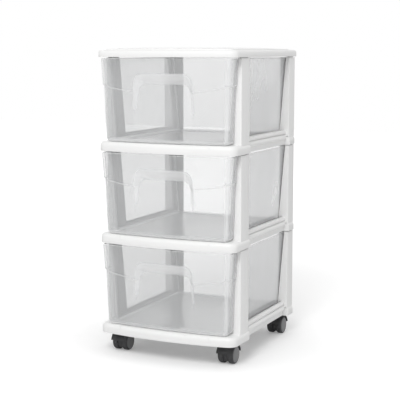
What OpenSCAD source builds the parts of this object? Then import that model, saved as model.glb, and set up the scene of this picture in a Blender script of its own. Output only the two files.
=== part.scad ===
// Three-tier drawer tower on casters, in millimetres.
// +X is to the right, +Y to the back and +Z up. The origin is on the floor under the middle of the tower.

/* [Tower] */
// Outside width across the corner posts
post_span_w = 307; // [260:1:360]
// Outside depth across the corner posts
post_span_d = 297; // [250:1:360]
// Height of one tier, from joint to joint
tier_h = 193; // [165:1:230]
// Gap between the floor and the underside of the lowest frame
floor_gap = 45; // [43:1:60]
// Wall thickness of the white mouldings
wall = 2.6; // [2:0.1:3]

/* [Shelf rim] */
// Height of the shelf rim, the lip under each drawer
rim_h = 19.5; // [17:0.5:24]
// Radius of the rounded upper edge of the rim
rim_nose = 8; // [5:0.5:9]
// How far the rim stands out at the sides
rim_side = 2.5; // [1:0.5:5]
// How far the rim stands out at the back
rim_back = 3; // [1:0.5:5]
// How far the front corners of the rim stand out from the posts
rim_reach = 38; // [28:1:42]
// How far the middle of the front bows out past its corners
rim_bow = 12; // [6:1:16]
// Corner radius of the rim in plan
rim_corner = 20; // [14:1:26]
// Width of the ledge that each side of a drawer slides on
ledge_w = 30; // [20:1:45]

/* [Posts] */
// Depth of a front post
front_post_d = 42; // [38:1:55]
// Depth of a rear post
rear_post_d = 33; // [28:1:45]
// Width of the flange at the back of a rear post
rear_flange_w = 33; // [26:1:38]
// Width of the flanges beside a drawer at the top of a post
flange_top_w = 9; // [8:0.5:11]
// Width of the flanges beside a drawer at the foot of a post
flange_foot_w = 22; // [18:0.5:23]
// Height of the shadow line at each joint
joint_gap = 1.8; // [0.6:0.1:2]
// Height of the spigot on top of each post
spigot_h = 8; // [5:0.5:9]
// Clearance round a spigot in its pocket
spigot_gap = 0.2; // [0.1:0.05:0.4]

/* [Side rails] */
// Height of the rail's lower edge above the joint
rail_low = 10; // [9:0.5:11]
// Radius of the lower bead of a side rail
rail_bead_r = 6.2; // [5:0.1:6.5]
// Radius of the upper bead of a side rail
rail_top_r = 5; // [4:0.1:5.5]
// How far the lower bead is set in from the post's side face
rail_inset = 4.5; // [2:0.5:7]

/* [Top panel] */
// Height of the top panel's rim
top_rim_h = 14; // [12:0.5:18]
// Height of the raised platform above the rim
platform_h = 5; // [3:0.5:8]
// How far the platform is set in from the rim
platform_inset = 14; // [10:1:22]
// How far the platform's corners lie below its middle
crown_drop = 3.5; // [2:0.5:4]
// How far the top panel stands out past the shelf rims
top_extra = 1.5; // [0.5:0.5:3]

/* [Drawers] */
// Wall thickness of a drawer
drawer_wall = 2; // [1.6:0.1:2.6]
// Clearance between the drawer's body and the post flanges
drawer_gap = 2; // [1.5:0.1:3]
// Clearance under a drawer, on the ledges
slide_gap = 0.3; // [0.2:0.05:0.5]
// Clearance between a drawer and the rim above it
head_gap = 2.5; // [2:0.5:6]
// How far the drawer front overlaps each post flange at the top
front_lap = 3; // [1.5:0.5:4]
// How far the drawer front would overlap each post flange at the foot, without the step under its band
foot_lap = 9.6; // [9:0.1:12]
// How far the front corners stand out from the posts, at the top
front_reach_top = 42; // [34:0.5:43]
// How far the front corners stand out from the posts, at the foot
front_reach_foot = 37; // [28:0.5:40]
// How far the middle of a drawer front bows out past its corners
front_bow = 7; // [4:1:10]
// Corner radius of a drawer front in plan
front_corner = 14; // [9:1:18]
// How far the upper band of the front stands proud
band_proud = 2.6; // [2.2:0.2:4]
// Height of the upper band in the middle of the front
band_h = 70; // [60:1:78]
// Half the width of the arch of the handle
arch_half_w = 65; // [50:1:80]
// Distance from the top edge of the drawer down to the arch
arch_drop = 30; // [24:1:38]
// Height of the sloping grip under the arch
grip_h = 23; // [14:1:28]
// Depth of the finger recess at the lower edge of the grip
recess_depth = 14; // [8:0.5:18]
// Space between the back of a drawer and the back of the posts
drawer_back_gap = 12; // [8:1:40]

/* [Casters] */
// Radius of a caster wheel
wheel_r = 19; // [17:0.5:20]
// Width of one wheel
wheel_w = 13.5; // [11:0.5:16]
// Gap between each wheel and the hood's middle web
wheel_gap = 0.8; // [0.5:0.1:1.5]
// Width of the hood's middle web
web_w = 8.4; // [8:0.2:11]
// Radius of the wheel axle
axle_r = 2.5; // [2:0.1:3]
// Running clearance of the wheels and of the swivel, in radius
run_gap = 0.06; // [0.04:0.01:0.1]
// Radius of the caster's stem
stem_r = 4; // [3:0.1:4.5]
// Length of the stem inside its socket
stem_grip = 15; // [10:0.5:16]
// Distance from the swivel axis to the axle
trail = 7; // [5:0.5:9]
// Distance from a stem to the side face of the posts
caster_in_x = 30; // [27:0.5:36]
// Distance from a front stem to the front face of the posts
caster_front_y = 16; // [14:0.5:22]
// Distance from a rear stem to the back face of the posts
caster_back_y = 24.5; // [24.5:0.5:32]

/* [Hidden] */
$fn = 48;

eps = 0.05;

// Overall plan
post_x = post_span_w / 2;
front_out = rim_reach + rim_bow + top_extra;
back_out = rim_back + top_extra;
post_front = front_out - (post_span_d + front_out + back_out) / 2;
post_back = post_front + post_span_d;
front_post_back = post_front + front_post_d;
rear_post_front = post_back - rear_post_d;
rim_x = post_x + rim_side;

// Side rails and ledges
skirt_x = post_x - rail_inset - rail_bead_r;
rail_in = skirt_x - rail_top_r - 0.8;
ledge_in = rail_in + drawer_gap - ledge_w;
rail_high = rail_low + 2 * (rail_bead_r + rail_top_r);

// Drawer body and front
body_foot_x = post_x - flange_foot_w - drawer_gap;
body_top_x = post_x - flange_top_w - drawer_gap;
front_foot_x = post_x - flange_foot_w + foot_lap;
front_top_x = post_x - flange_top_w + front_lap;
drawer_h = tier_h - rim_h - slide_gap - head_gap;
drawer_back = post_back - drawer_back_gap;
wing_gap = 1.2;
band_z = drawer_h - band_h;
band_rise = 16;
arch_splay = 10;
floor_tuck = 9;

function tier_z(k) = floor_gap + k * tier_h;
top_z = tier_z(3);

// Points of a circular arc
function arc(cx, cy, r, a0, a1, n) =
    [for (i = [0 : n]) let (a = a0 + (a1 - a0) * i / n) [cx + r * cos(a), cy + r * sin(a)]];

// Plan outline with a bowed front and rounded corners. front is the line of the front corners.
module bowed_plan(half_w, front, back, bow, r, r_back) {
    chord = half_w - r;
    big = (chord * chord + bow * bow) / (2 * bow) + r;
    turn = asin(chord / (big - r));
    polygon(concat(
        arc(chord, front + r, r, -90 + turn, 0, 5),
        arc(half_w - r_back, back - r_back, r_back, 0, 90, 3),
        arc(-half_w + r_back, back - r_back, r_back, 90, 180, 3),
        arc(-chord, front + r, r, 180, 270 - turn, 5),
        arc(0, front - bow + big, big, -90 - turn + turn / 6, -90 + turn - turn / 6, 10)
    ));
}

// Thin slice of such an outline, drawn in by inset, at height z
module plan_slice(z, inset, half_w, front, back, bow, r, r_back) {
    translate([0, 0, z])
        linear_extrude(eps)
            bowed_plan(half_w - inset, front + inset, back - inset, bow, max(r - inset, 1), max(r_back - inset, 0.6));
}

// Solid with a rounded upper edge, from height z to z + h
module nosed_block(z, h, nose, half_w, front, back, bow, r, r_back) {
    hull() {
        plan_slice(z, 0.8, half_w, front, back, bow, r, r_back);
        plan_slice(z + 1, 0, half_w, front, back, bow, r, r_back);
        for (a = [0 : 22.5 : 90])
            plan_slice(z + h - nose + nose * sin(a) - eps, nose * (1 - cos(a)), half_w, front, back, bow, r, r_back);
    }
}

// Box from one corner to the opposite one
module span(low, high) {
    translate(low)
        cube(high - low);
}

// Draws its children on the right, and mirrored on the left
module both_sides() {
    children();
    mirror([1, 0, 0])
        children();
}

// ---------- White frames ----------

// Tapered flange of a post beside the drawer, from y to y + wall
module tapered_flange(y, z) {
    foot = post_x - flange_foot_w;
    head = post_x - flange_top_w;
    top = z + tier_h - joint_gap;
    low = z + rim_h - wall;
    blend = 9;
    translate([0, y + wall, 0])
        rotate([90, 0, 0])
            linear_extrude(wall)
                polygon(concat(
                    [[post_x, low], [post_x, top]],
                    arc(head + 5, top - 5, 5, 90, 180, 4),
                    arc(foot - blend, z + rim_h + blend, blend, 0, -90, 5),
                    [[foot - blend, low]]
                ));
}

// Spigot that plugs into the frame above
module spigot(y0, y1, z) {
    top = z + tier_h;
    span([post_x - flange_top_w + spigot_gap, y0, top - joint_gap - wall],
        [post_x - wall - spigot_gap, y1, top + spigot_h]);
}

// Pocket that takes a spigot, cut from below
module spigot_pocket(y0, y1, z) {
    span([post_x - flange_top_w, y0 - spigot_gap, z - 1],
        [post_x - wall, y1 + spigot_gap, z + spigot_h]);
}

front_spigot = [post_front + wall + 1, front_post_back - wall - 1];
rear_spigot = [rear_post_front + wall + 1, post_back - wall - 1];

// One front post, open towards the drawer
module front_post(z) {
    top = z + tier_h - joint_gap;
    tapered_flange(post_front, z);
    tapered_flange(front_post_back - wall, z);
    span([post_x - wall, post_front, z + rim_h - wall], [post_x, front_post_back, top]);
    span([post_x - flange_top_w, post_front + wall, top - wall], [post_x, front_post_back, top]);
    spigot(front_spigot[0], front_spigot[1], z);
}

// One rear post, open towards the drawer, with a wider flange behind it
module rear_post(z) {
    top = z + tier_h - joint_gap;
    foot = z + rim_h - wall;
    tapered_flange(rear_post_front, z);
    span([post_x - wall, rear_post_front, foot], [post_x, post_back, top]);
    span([post_x - rear_flange_w, post_back - wall, foot], [post_x, post_back, top]);
    span([post_x - flange_top_w, rear_post_front + wall, top - wall], [post_x, post_back, top]);
    spigot(rear_spigot[0], rear_spigot[1], z);
}

// Side rail between the posts: two beads, the guide wall behind them and the skirt below
module side_rail(z) {
    y0 = front_post_back - wall;
    y1 = rear_post_front + wall;
    low_z = z + rail_low + rail_bead_r;
    top_z = z + rail_high - rail_top_r;
    translate([0, y1, 0])
        rotate([90, 0, 0])
            linear_extrude(y1 - y0) {
                translate([skirt_x, low_z])
                    circle(rail_bead_r);
                translate([skirt_x - 0.5, top_z])
                    circle(rail_top_r);
                translate([rail_in, z + rail_high - wall])
                    square([skirt_x - 0.5 - rail_in, wall]);
                translate([rail_in, z + rim_h - wall])
                    square([wall, rail_high - rim_h + wall]);
            }
}

// Opening in the middle of a shelf, grown by grow on every side
module shelf_opening(z, grow) {
    span([-ledge_in - grow, front_post_back - grow, z - 5],
        [ledge_in + grow, rear_post_front + grow, z + rim_h + 5]);
}

// Space beside the side rails, where the rim is cut back, grown by grow
module side_notch(z, grow) {
    span([skirt_x - grow, front_post_back - grow, z - 5],
        [rim_x + 10, rear_post_front + grow, z + rim_h + 5]);
}

// Stiffening ribs under the front and the back of a shelf
module shelf_ribs(z) {
    for (x = [-2 : 2])
        span([x * post_span_w / 6 - 0.9, post_front - rim_reach - rim_bow, z + 2],
            [x * post_span_w / 6 + 0.9, post_back + rim_back, z + rim_h]);
    span([-post_x, post_front - 0.9, z + 2], [post_x, post_front + 0.9, z + rim_h]);
}

// Block round a spigot pocket
module pocket_block(y0, y1, z) {
    span([post_x - flange_top_w - wall, y0 - wall - spigot_gap, z],
        [post_x, y1 + wall + spigot_gap, z + spigot_h + wall]);
}

module caster_places() {
    for (y = [post_front + caster_front_y, post_back - caster_back_y])
        translate([post_x - caster_in_x, y, 0])
            children();
}

// One frame: the shelf with its rim, the side rails and the four posts that stand on it
module tier_frame(z, has_sockets) {
    front = post_front - rim_reach;
    back = post_back + rim_back;
    difference() {
        union() {
            difference() {
                nosed_block(z, rim_h, rim_nose, rim_x, front, back, rim_bow, rim_corner, 7);
                both_sides()
                    side_notch(z, 0);
                difference() {
                    nosed_block(z - wall, rim_h, rim_nose - wall / 2, rim_x - wall, front + wall, back - wall,
                        rim_bow, rim_corner - wall, 5);
                    shelf_opening(z, wall);
                    both_sides()
                        side_notch(z, wall);
                    shelf_ribs(z);
                    both_sides() {
                        pocket_block(front_spigot[0], front_spigot[1], z);
                        pocket_block(rear_spigot[0], rear_spigot[1], z);
                    }
                    if (has_sockets)
                        both_sides()
                            caster_places()
                                translate([0, 0, z])
                                    cylinder(r = stem_r + 4, h = rim_h);
                }
                shelf_opening(z, 0);
            }
            both_sides() {
                side_rail(z);
                front_post(z);
                rear_post(z);
            }
        }
        both_sides() {
            spigot_pocket(front_spigot[0], front_spigot[1], z);
            spigot_pocket(rear_spigot[0], rear_spigot[1], z);
        }
        if (has_sockets)
            both_sides()
                caster_places()
                    translate([0, 0, z - 1])
                        cylinder(r = stem_r, h = stem_grip + 1);
    }
}

module upper_frame() {
    color("white")
        tier_frame(tier_z(2), false);
}

module middle_frame() {
    color("white")
        tier_frame(tier_z(1), false);
}

module lower_frame() {
    color("white")
        tier_frame(tier_z(0), true);
}

// Crown of the platform: flat in the middle, falling by crown_drop out to radius reach
module crown(top, reach) {
    flat = reach * 0.3;
    rings = 10;
    rotate_extrude($fn = 120)
        polygon(concat(
            [[0, top - 20], [0, top]],
            [for (k = [0 : rings]) [flat + (reach - flat) * k / rings, top - crown_drop * k * k / (rings * rings)]],
            [[reach + 10, top - crown_drop - 1], [reach + 10, top - 20]]
        ));
}

// Top panel: a rim like the shelves', a raised and crowned platform, and pockets for the four spigots
module top_panel() {
    x = rim_x + top_extra;
    front = post_front - rim_reach - top_extra;
    back = post_back + rim_back + top_extra;
    set_in = platform_inset;
    mid = (front - rim_bow + back) / 2;
    reach = norm([x - set_in, (back - front + rim_bow) / 2 - set_in]);
    color("white")
        difference() {
            union() {
                nosed_block(top_z, top_rim_h, rim_nose - 2, x, front, back, rim_bow, rim_corner, 8);
                intersection() {
                    translate([0, 0, top_z + top_rim_h - 2])
                        linear_extrude(platform_h + 2)
                            bowed_plan(x - set_in, front + set_in, back - set_in, rim_bow, rim_corner - 6, 6);
                    translate([0, mid, 0])
                        crown(top_z + top_rim_h + platform_h, reach);
                }
            }
            difference() {
                nosed_block(top_z - wall, top_rim_h, rim_nose - 3, x - wall, front + wall, back - wall,
                    rim_bow, rim_corner - wall, 6);
                both_sides() {
                    pocket_block(front_spigot[0], front_spigot[1], top_z);
                    pocket_block(rear_spigot[0], rear_spigot[1], top_z);
                }
                for (k = [-1 : 1]) {
                    span([k * x / 2 - 0.9, front - rim_bow, top_z + 3], [k * x / 2 + 0.9, back, top_z + top_rim_h]);
                    span([-x, mid + k * x / 2 - 0.9, top_z + 3], [x, mid + k * x / 2 + 0.9, top_z + top_rim_h]);
                }
            }
            both_sides() {
                spigot_pocket(front_spigot[0], front_spigot[1], top_z);
                spigot_pocket(rear_spigot[0], rear_spigot[1], top_z);
            }
        }
}

// ---------- Clear drawers ----------

// Half width and reach of the drawer front at height h above its foot
function front_x(h) = front_foot_x + (front_top_x - front_foot_x) * h / drawer_h;
function front_out_at(h) = front_reach_foot + (front_reach_top - front_reach_foot) * h / drawer_h;

// Thin slice of the drawer front at height h, drawn in by inset
module front_slice(z, h, inset, back) {
    translate([0, 0, z + h])
        linear_extrude(eps)
            bowed_plan(front_x(h) - inset, post_front - front_out_at(h) + inset, back, front_bow,
                max(front_corner - inset, 1), 1);
}

// Front box of a drawer, below the band, drawn in by inset
module front_main(z, inset, back, low) {
    hull() {
        front_slice(z, low, floor_tuck + inset + band_proud, back);
        front_slice(z, low + floor_tuck * 0.35, floor_tuck * 0.3 + inset + band_proud, back);
        front_slice(z, low + floor_tuck, inset + band_proud, back);
        front_slice(z, drawer_h - eps, inset + band_proud, back);
    }
}

// Upper band of the front, whose lower edge rises towards both ends
module front_band(z, back) {
    reach = front_top_x;
    arc_r = (reach * reach + band_rise * band_rise) / (2 * band_rise);
    intersection() {
        hull() {
            front_slice(z, band_z - 4, 0, back);
            front_slice(z, drawer_h - eps, 0, back);
        }
        translate([0, post_back, z + band_z + arc_r])
            rotate([90, 0, 0])
                cylinder(r = arc_r, h = post_span_d + 200, $fn = 360);
    }
}

// Body of a drawer behind the posts' flanges, with rounded lower edges
module drawer_body(z, inset, low) {
    front = post_front - 8;
    hull()
        for (step = [[low, 6], [low + 2.5, 1.8], [low + 7, 0], [drawer_h - eps, 0]]) {
            half = body_foot_x + (body_top_x - body_foot_x) * step[0] / drawer_h - inset - step[1];
            back = drawer_back - inset - step[1];
            translate([0, 0, z + step[0]])
                linear_extrude(eps)
                    polygon(concat(
                        [[-half, front], [half, front]],
                        arc(half - 7, back - 7, 7, 0, 90, 4),
                        arc(-half + 7, back - 7, 7, 90, 180, 4)
                    ));
        }
}

// Outline of the arch in a slice across Y. top is the height of its crown above its foot.
module arch_slice(half_w, top, round) {
    rotate([90, 0, 0])
        linear_extrude(eps)
            polygon(concat(
                [[-half_w - arch_splay, 0], [half_w + arch_splay, 0]],
                arc(half_w - round, top - round, round, 0, 90, 6),
                arc(-half_w + round, top - round, round, 90, 180, 6)
            ));
}

// Finger recess under the arch. Its back leans forward until it meets the front near the foot.
module finger_recess(z, grow) {
    foot = 8;
    fade = 22;
    top = drawer_h - arch_drop;
    face_top = post_front - front_out_at(top) - front_bow;
    face_fade = post_front - front_out_at(fade) - front_bow + band_proud;
    deep = top - grip_h;
    lean = atan((face_top + recess_depth - face_fade) / (deep - fade));
    face_lean = atan((front_reach_top - front_reach_foot) / drawer_h);
    foot_back = face_fade - (fade - foot) * tan(lean);
    foot_face = post_front - front_out_at(foot) - front_bow - 0.5;
    hull() {
        translate([0, foot_face - 6, z + foot])
            rotate([face_lean, 0, 0])
                arch_slice(arch_half_w + grow, top - foot + grow, 19);
        translate([0, foot_face, z + foot])
            rotate([face_lean, 0, 0])
                arch_slice(arch_half_w + grow, top - foot + grow, 19);
        translate([0, foot_back + grow, z + foot])
            rotate([-lean, 0, 0])
                arch_slice(arch_half_w - 7 + grow, (deep - foot) / cos(lean) + grow, 15);
    }
}

// Stop under the floor of a drawer, which meets the shelf when the drawer is fully out
module drawer_stop(z) {
    span([-40, rear_post_front - 4, z - 4], [40, rear_post_front - 1, z + drawer_wall]);
}

module drawer(z) {
    wing_back = post_front - wing_gap;
    color([0.86, 0.88, 0.9, 0.45]) {
        difference() {
            difference() {
                union() {
                    front_main(z, 0, wing_back, 0);
                    front_band(z, wing_back);
                    drawer_body(z, 0, 0);
                }
                finger_recess(z, 0);
            }
            difference() {
                translate([0, 0, 2 * eps])
                    union() {
                        front_main(z, drawer_wall, wing_back - drawer_wall, drawer_wall);
                        drawer_body(z, drawer_wall, drawer_wall);
                    }
                finger_recess(z, drawer_wall);
            }
        }
        drawer_stop(z);
    }
}

module upper_drawer() {
    drawer(tier_z(2) + rim_h + slide_gap);
}

module middle_drawer() {
    drawer(tier_z(1) + rim_h + slide_gap);
}

module lower_drawer() {
    drawer(tier_z(0) + rim_h + slide_gap);
}

// ---------- Casters ----------

stem_x = post_x - caster_in_x;
stem_front = post_front + caster_front_y;
stem_rear = post_back - caster_back_y;
hood_top = floor_gap - slide_gap;
swivel_bore_h = 15;
wheel_in = web_w / 2 + wheel_gap;
wheel_out = wheel_in + wheel_w;
hood_gap = 1.2;
hood_wall = 1.8;
cap_t = 2.8;

// Steel stem: gripped by the socket above and turning in the hood below
module caster_stem(x, y) {
    color("silver")
        translate([x, y, 0]) {
            translate([0, 0, hood_top - swivel_bore_h + slide_gap])
                cylinder(r = stem_r - run_gap, h = swivel_bore_h);
            translate([0, 0, floor_gap])
                cylinder(r = stem_r, h = stem_grip);
        }
}

// Dark hood: a web between the wheels, a swivel boss and a round cover over both wheels.
// turn is 1 where the wheels trail to the back, and -1 where they trail to the front.
module caster_hood(x, y, turn) {
    cover_r = wheel_r + hood_gap + hood_wall;
    axle_y = trail * turn;
    color([0.2, 0.2, 0.21])
        translate([x, y, 0])
            difference() {
                union() {
                    intersection() {
                        difference() {
                            translate([-wheel_out, axle_y, wheel_r])
                                rotate([0, 90, 0])
                                    cylinder(r = cover_r, h = 2 * wheel_out);
                            for (side = [-1, 1])
                                translate([side > 0 ? web_w / 2 : -wheel_out - 1, axle_y, wheel_r])
                                    rotate([0, 90, 0])
                                        cylinder(r = wheel_r + hood_gap, h = wheel_out + 1 - web_w / 2);
                        }
                        span([-wheel_out - 1, axle_y - cover_r - 1, wheel_r + 4],
                            [wheel_out + 1, axle_y + cover_r + 1, hood_top - 1.5]);
                    }
                    intersection() {
                        translate([-web_w / 2, axle_y, wheel_r])
                            rotate([0, 90, 0])
                                cylinder(r = wheel_r - 2, h = web_w);
                        span([-web_w, axle_y - wheel_r, 6], [web_w, axle_y + wheel_r, hood_top]);
                    }
                    translate([0, 0, hood_top - 4.5])
                        cylinder(r = stem_r + 3.5, h = 4.5);
                    span([-web_w / 2, min(axle_y, -turn * (stem_r + 3)), hood_top - swivel_bore_h - 2],
                        [web_w / 2, max(axle_y, -turn * (stem_r + 3)), hood_top - 2]);
                }
                translate([0, 0, hood_top - swivel_bore_h])
                    cylinder(r = stem_r, h = swivel_bore_h + 1);
                translate([-web_w, axle_y, wheel_r])
                    rotate([0, 90, 0])
                        cylinder(r = axle_r, h = 2 * web_w);
            }
}

// Steel axle, pressed into the hood's web
module caster_axle(x, y, turn) {
    color("silver")
        translate([x - wheel_out + cap_t + 0.4, y + trail * turn, wheel_r])
            rotate([0, 90, 0])
                cylinder(r = axle_r, h = 2 * (wheel_out - cap_t - 0.4));
}

// One wheel of the pair, with a domed outer face. side is 1 on the right and -1 on the left.
module caster_wheel(x, y, turn, side) {
    shoulder = wheel_w - 4.5;
    color([0.16, 0.16, 0.17])
        translate([x, y + trail * turn, wheel_r])
            rotate([0, 90 * side, 0])
                translate([0, 0, wheel_in])
                    rotate_extrude($fn = 64)
                        polygon(concat(
                            [[axle_r + run_gap, 0], [wheel_r - 1.2, 0], [wheel_r, 1.2], [wheel_r, shoulder]],
                            arc(wheel_r - 3.5, shoulder, 3.5, 0, 60, 4),
                            [[wheel_r * 0.45, wheel_w - 0.4], [axle_r + 1, wheel_w], [0, wheel_w],
                                [0, wheel_w - cap_t], [axle_r + run_gap, wheel_w - cap_t]]
                        ));
}

module front_left_stem() { caster_stem(-stem_x, stem_front); }
module front_left_hood() { caster_hood(-stem_x, stem_front, -1); }
module front_left_axle() { caster_axle(-stem_x, stem_front, -1); }
module front_left_wheel_a() { caster_wheel(-stem_x, stem_front, -1, -1); }
module front_left_wheel_b() { caster_wheel(-stem_x, stem_front, -1, 1); }
module front_right_stem() { caster_stem(stem_x, stem_front); }
module front_right_hood() { caster_hood(stem_x, stem_front, -1); }
module front_right_axle() { caster_axle(stem_x, stem_front, -1); }
module front_right_wheel_a() { caster_wheel(stem_x, stem_front, -1, -1); }
module front_right_wheel_b() { caster_wheel(stem_x, stem_front, -1, 1); }
module rear_left_stem() { caster_stem(-stem_x, stem_rear); }
module rear_left_hood() { caster_hood(-stem_x, stem_rear, 1); }
module rear_left_axle() { caster_axle(-stem_x, stem_rear, 1); }
module rear_left_wheel_a() { caster_wheel(-stem_x, stem_rear, 1, -1); }
module rear_left_wheel_b() { caster_wheel(-stem_x, stem_rear, 1, 1); }
module rear_right_stem() { caster_stem(stem_x, stem_rear); }
module rear_right_hood() { caster_hood(stem_x, stem_rear, 1); }
module rear_right_axle() { caster_axle(stem_x, stem_rear, 1); }
module rear_right_wheel_a() { caster_wheel(stem_x, stem_rear, 1, -1); }
module rear_right_wheel_b() { caster_wheel(stem_x, stem_rear, 1, 1); }

top_panel();
upper_frame();
middle_frame();
lower_frame();
upper_drawer();
middle_drawer();
lower_drawer();
front_left_stem();
front_left_hood();
front_left_axle();
front_left_wheel_a();
front_left_wheel_b();
front_right_stem();
front_right_hood();
front_right_axle();
front_right_wheel_a();
front_right_wheel_b();
rear_left_stem();
rear_left_hood();
rear_left_axle();
rear_left_wheel_a();
rear_left_wheel_b();
rear_right_stem();
rear_right_hood();
rear_right_axle();
rear_right_wheel_a();
rear_right_wheel_b();
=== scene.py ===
# %% [markdown]
# # A clear drawer tower on casters
# The real object is a light storage tower: three see-through drawers in white moulded frames, a white top
# panel and four small dark casters. Its solids come from a CAD model, which fixes every size and every
# joint. This script only gives that model its looks. Each moulding is rebuilt as a finer mesh on the same
# sizes, rides on the same body, and gets a plastic or metal finish made of shader nodes.

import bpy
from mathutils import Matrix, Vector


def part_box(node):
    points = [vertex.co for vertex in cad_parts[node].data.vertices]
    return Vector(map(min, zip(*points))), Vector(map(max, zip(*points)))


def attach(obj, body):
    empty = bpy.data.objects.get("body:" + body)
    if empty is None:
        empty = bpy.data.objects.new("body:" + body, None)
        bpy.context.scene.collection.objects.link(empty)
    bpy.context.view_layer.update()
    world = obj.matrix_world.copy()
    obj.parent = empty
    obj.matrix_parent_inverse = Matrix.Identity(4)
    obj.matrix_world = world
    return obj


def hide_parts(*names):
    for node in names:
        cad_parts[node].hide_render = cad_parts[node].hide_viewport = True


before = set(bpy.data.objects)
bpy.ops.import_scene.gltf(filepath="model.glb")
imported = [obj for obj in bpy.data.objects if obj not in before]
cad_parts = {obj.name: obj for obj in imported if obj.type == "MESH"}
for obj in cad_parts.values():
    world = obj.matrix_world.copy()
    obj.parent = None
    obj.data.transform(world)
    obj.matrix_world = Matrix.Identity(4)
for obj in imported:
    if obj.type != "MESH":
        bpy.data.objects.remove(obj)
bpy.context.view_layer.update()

# %% Libraries and the unit
import math

import bmesh
import bpy
import numpy as np
from mathutils import Matrix, Vector

MM = 0.001

# %% [markdown]
# ## Sizes
# All sizes are in millimetres and are those of the CAD model, so every new mesh lands on its solid. The
# three tiers are the same moulding at three heights, so one list of joint heights places them all.

# %% Sizes of the tower
TIER = 193.0
TIER_Z = {"lower": 45.0, "middle": 238.0, "upper": 431.0}
TOP_Z = 624.0
WALL = 2.6
POST_X = 153.5
POST_FRONT, POST_BACK = -125.0, 172.0
FRONT_POST_BACK, REAR_POST_FRONT = -83.0, 139.0
RIM_H, RIM_NOSE, RIM_BOW, RIM_CORNER = 19.5, 8.0, 12.0, 20.0
RIM_X, RIM_FRONT, RIM_BACK, REAR_CORNER = 156.0, -163.0, 175.0, 7.0
SKIRT_X, LEDGE_X = 142.8, 109.0
RAIL_FRONT, RAIL_BACK = FRONT_POST_BACK - 2, REAR_POST_FRONT + 2
FLANGE_TOP, FLANGE_FOOT, REAR_FLANGE = 9.0, 22.0, 33.0
JOINT_GAP = 1.8

# %% The box of the upper frame
low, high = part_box("upper_frame")
print("upper frame:", [round(v / MM, 1) for v in low], [round(v / MM, 1) for v in high])

# %% [markdown]
# ## Skins
# Most mouldings here are lofts: rows of points with the same count, joined row to row. A small class keeps
# the points and faces of a piece, so that a rim, a post or a wheel is a few lines each. Rows that run
# against the clock, seen from above, and climb upwards give faces that point outwards.


# %% A skin made of rows
class Skin:
    """Collects points in millimetres and faces, and becomes one mesh object in metres."""

    def __init__(self):
        self.points, self.faces, self.slots = [], [], []

    def add(self, points, faces):
        start = len(self.points)
        self.points += [tuple(p) for p in points]
        self.faces += [tuple(start + i for i in face) for face in faces]
        self.slots += [0] * len(faces)

    def loft(self, rows):
        """Joins closed rows of equal length, and closes the first and the last one with a face."""
        n, m = len(rows), len(rows[0])
        faces = []
        for i in range(n - 1):
            for j in range(m):
                k = (j + 1) % m
                faces.append((i * m + j, i * m + k, (i + 1) * m + k, (i + 1) * m + j))
        faces.append(tuple(reversed(range(m))))
        faces.append(tuple(range((n - 1) * m, n * m)))
        self.add([p for row in rows for p in row], faces)

    def mirrored(self):
        """The same skin on the other side of the tower."""
        other = Skin()
        other.points = [(-x, y, z) for x, y, z in self.points]
        other.faces = [tuple(reversed(f)) for f in self.faces]
        other.slots = list(self.slots)
        return other

    def take(self, other, lift=0.0):
        """Adds another skin, raised by lift."""
        self.add([(x, y, z + lift) for x, y, z in other.points], other.faces)
        self.slots[-len(other.slots):] = other.slots

    def mesh(self, name):
        data = bpy.data.meshes.new(name)
        data.from_pydata([(x * MM, y * MM, z * MM) for x, y, z in self.points], [], self.faces)
        data.polygons.foreach_set("material_index", self.slots)
        data.validate()
        return data


# %% Outlines and rounded sections
def arc(cx, cy, r, start, end, steps):
    """Points of a circular arc, angles in degrees."""
    angles = np.radians(np.linspace(start, end, steps + 1))
    return np.stack([cx + r * np.cos(angles), cy + r * np.sin(angles)], 1)


def bowed_plan(half, front, back, bow, r, r_back):
    """Plan outline with a bowed front and rounded corners, against the clock."""
    chord = half - r
    big = (chord * chord + bow * bow) / (2 * bow) + r
    turn = math.degrees(math.asin(chord / (big - r)))
    return np.concatenate([
        arc(chord, front + r, r, -90 + turn, 0, 10),
        arc(half - r_back, back - r_back, r_back, 0, 90, 6),
        arc(-half + r_back, back - r_back, r_back, 90, 180, 6),
        arc(-chord, front + r, r, 180, 270 - turn, 10),
        arc(0, front - bow + big, big, -90 - turn, -90 + turn, 36)[1:-1],
    ])


def plan_row(z, inset, half, front, back, bow, r, r_back):
    plan = bowed_plan(half - inset, front + inset, back - inset, bow,
                      max(r - inset, 1), max(r_back - inset, 0.6))
    return [(x, y, z) for x, y in plan]


def rounded(points, radii, steps=4):
    """A polygon whose corners are cut by smooth curves of about the given radii."""
    out = []
    n = len(points)
    for i, r in enumerate(radii):
        here = np.array(points[i], float)
        before, after = np.array(points[i - 1], float) - here, np.array(points[(i + 1) % n], float) - here
        cut = min(r, 0.45 * np.linalg.norm(before), 0.45 * np.linalg.norm(after))
        a, b = here + before / np.linalg.norm(before) * cut, here + after / np.linalg.norm(after) * cut
        for t in np.linspace(0, 1, steps + 1):
            out.append((1 - t) ** 2 * a + 2 * t * (1 - t) * here + t * t * b)
    return np.array(out)


outline = bowed_plan(RIM_X, RIM_FRONT, RIM_BACK, RIM_BOW, RIM_CORNER, REAR_CORNER)
print("points in a rim outline:", len(outline))


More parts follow.
